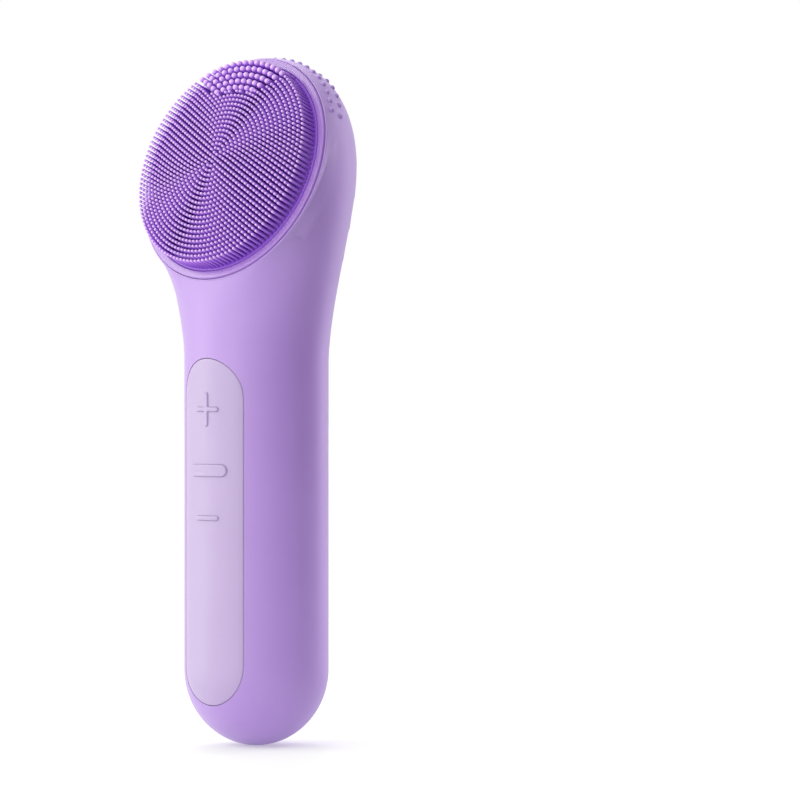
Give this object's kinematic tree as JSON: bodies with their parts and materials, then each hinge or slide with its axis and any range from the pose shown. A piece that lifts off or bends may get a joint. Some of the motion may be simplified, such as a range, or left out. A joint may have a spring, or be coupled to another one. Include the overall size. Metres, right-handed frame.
{
  "type": "facial cleansing brush",
  "caption": "Handheld silicone facial cleansing brush with a tilted round bristle head, a keypad on the front of the round handle and a bright charging plate behind.",
  "frame": {"origin": "on the handle's axis, at the middle of the grip", "axes": "+Z along the handle towards the brush head, -Y the side that the brush and the keypad face, +X to the left of someone who looks at the brush face"},
  "size_m": [0.0568, 0.0396, 0.1638],
  "materials": {
    "silicone_body": "soft matte lavender silicone",
    "keypad": "soft matte pale lilac silicone",
    "head_ring": "satin light purple silicone",
    "bristles": "satin deep violet silicone with paler tips",
    "mirror_chrome": "mirror-bright plated plate",
    "contact_metal": "gold-plated contacts",
    "shell_plastic": "moulded white plastic",
    "dark_plastic": "moulded black plastic",
    "steel": "plain bright steel",
    "copper": "copper and brass",
    "board": "green coated circuit board",
    "cell_wrap": "blue shrink-wrapped cell",
    "seal_rubber": "black rubber and foam",
    "lead_insulation": "red wire insulation"
  },
  "bodies": {
    "body": {"silicone_body": "silicone_body", "keypad_panel": "keypad", "housing_front": "shell_plastic", "housing_back": "shell_plastic", "housing_screws": "steel", "main_board": "board", "board_screws": "steel", "tact_switches": "steel", "board_components": "dark_plastic", "battery_cell": "cell_wrap", "battery_tabs": "steel", "battery_pad": "seal_rubber", "battery_leads": "lead_insulation", "motor_can": "steel", "motor_end_cap": "dark_plastic", "motor_magnets": "steel", "motor_brushes": "copper", "motor_sleeve": "seal_rubber", "motor_leads": "lead_insulation", "brush_pad": "bristles", "head_ring": "head_ring", "pad_carrier": "shell_plastic", "head_seal": "seal_rubber", "mirror_plate": "mirror_chrome", "plate_gasket": "seal_rubber", "charging_contacts": "contact_metal", "contact_board": "board", "charging_magnets": "steel", "charging_leads": "lead_insulation"},
    "plus_button": {"plus_key": "keypad", "plus_plunger": "shell_plastic", "plus_actuator": "dark_plastic"},
    "power_button": {"power_key": "keypad", "power_plunger": "shell_plastic", "power_actuator": "dark_plastic"},
    "minus_button": {"minus_key": "keypad", "minus_plunger": "shell_plastic", "minus_actuator": "dark_plastic"},
    "rotor": {"motor_armature": "copper", "motor_commutator": "copper", "motor_shaft": "steel", "eccentric_weight": "copper"}
  },
  "joints": [
    {"name": "plus_press", "type": "slide", "parent": "body", "child": "plus_button", "axis": [0, 1, 0], "range_m": [0, 0.0003], "stiffness_N_per_m": 3000},
    {"name": "power_press", "type": "slide", "parent": "body", "child": "power_button", "axis": [0, 1, 0], "range_m": [0, 0.0003], "stiffness_N_per_m": 3000},
    {"name": "minus_press", "type": "slide", "parent": "body", "child": "minus_button", "axis": [0, 1, 0], "range_m": [0, 0.0003], "stiffness_N_per_m": 3000},
    {"name": "rotor_spin", "type": "hinge", "parent": "body", "child": "rotor", "pos_m": [0, 0, 0.039], "axis": [0, 0, 1], "continuous": true}
  ]
}
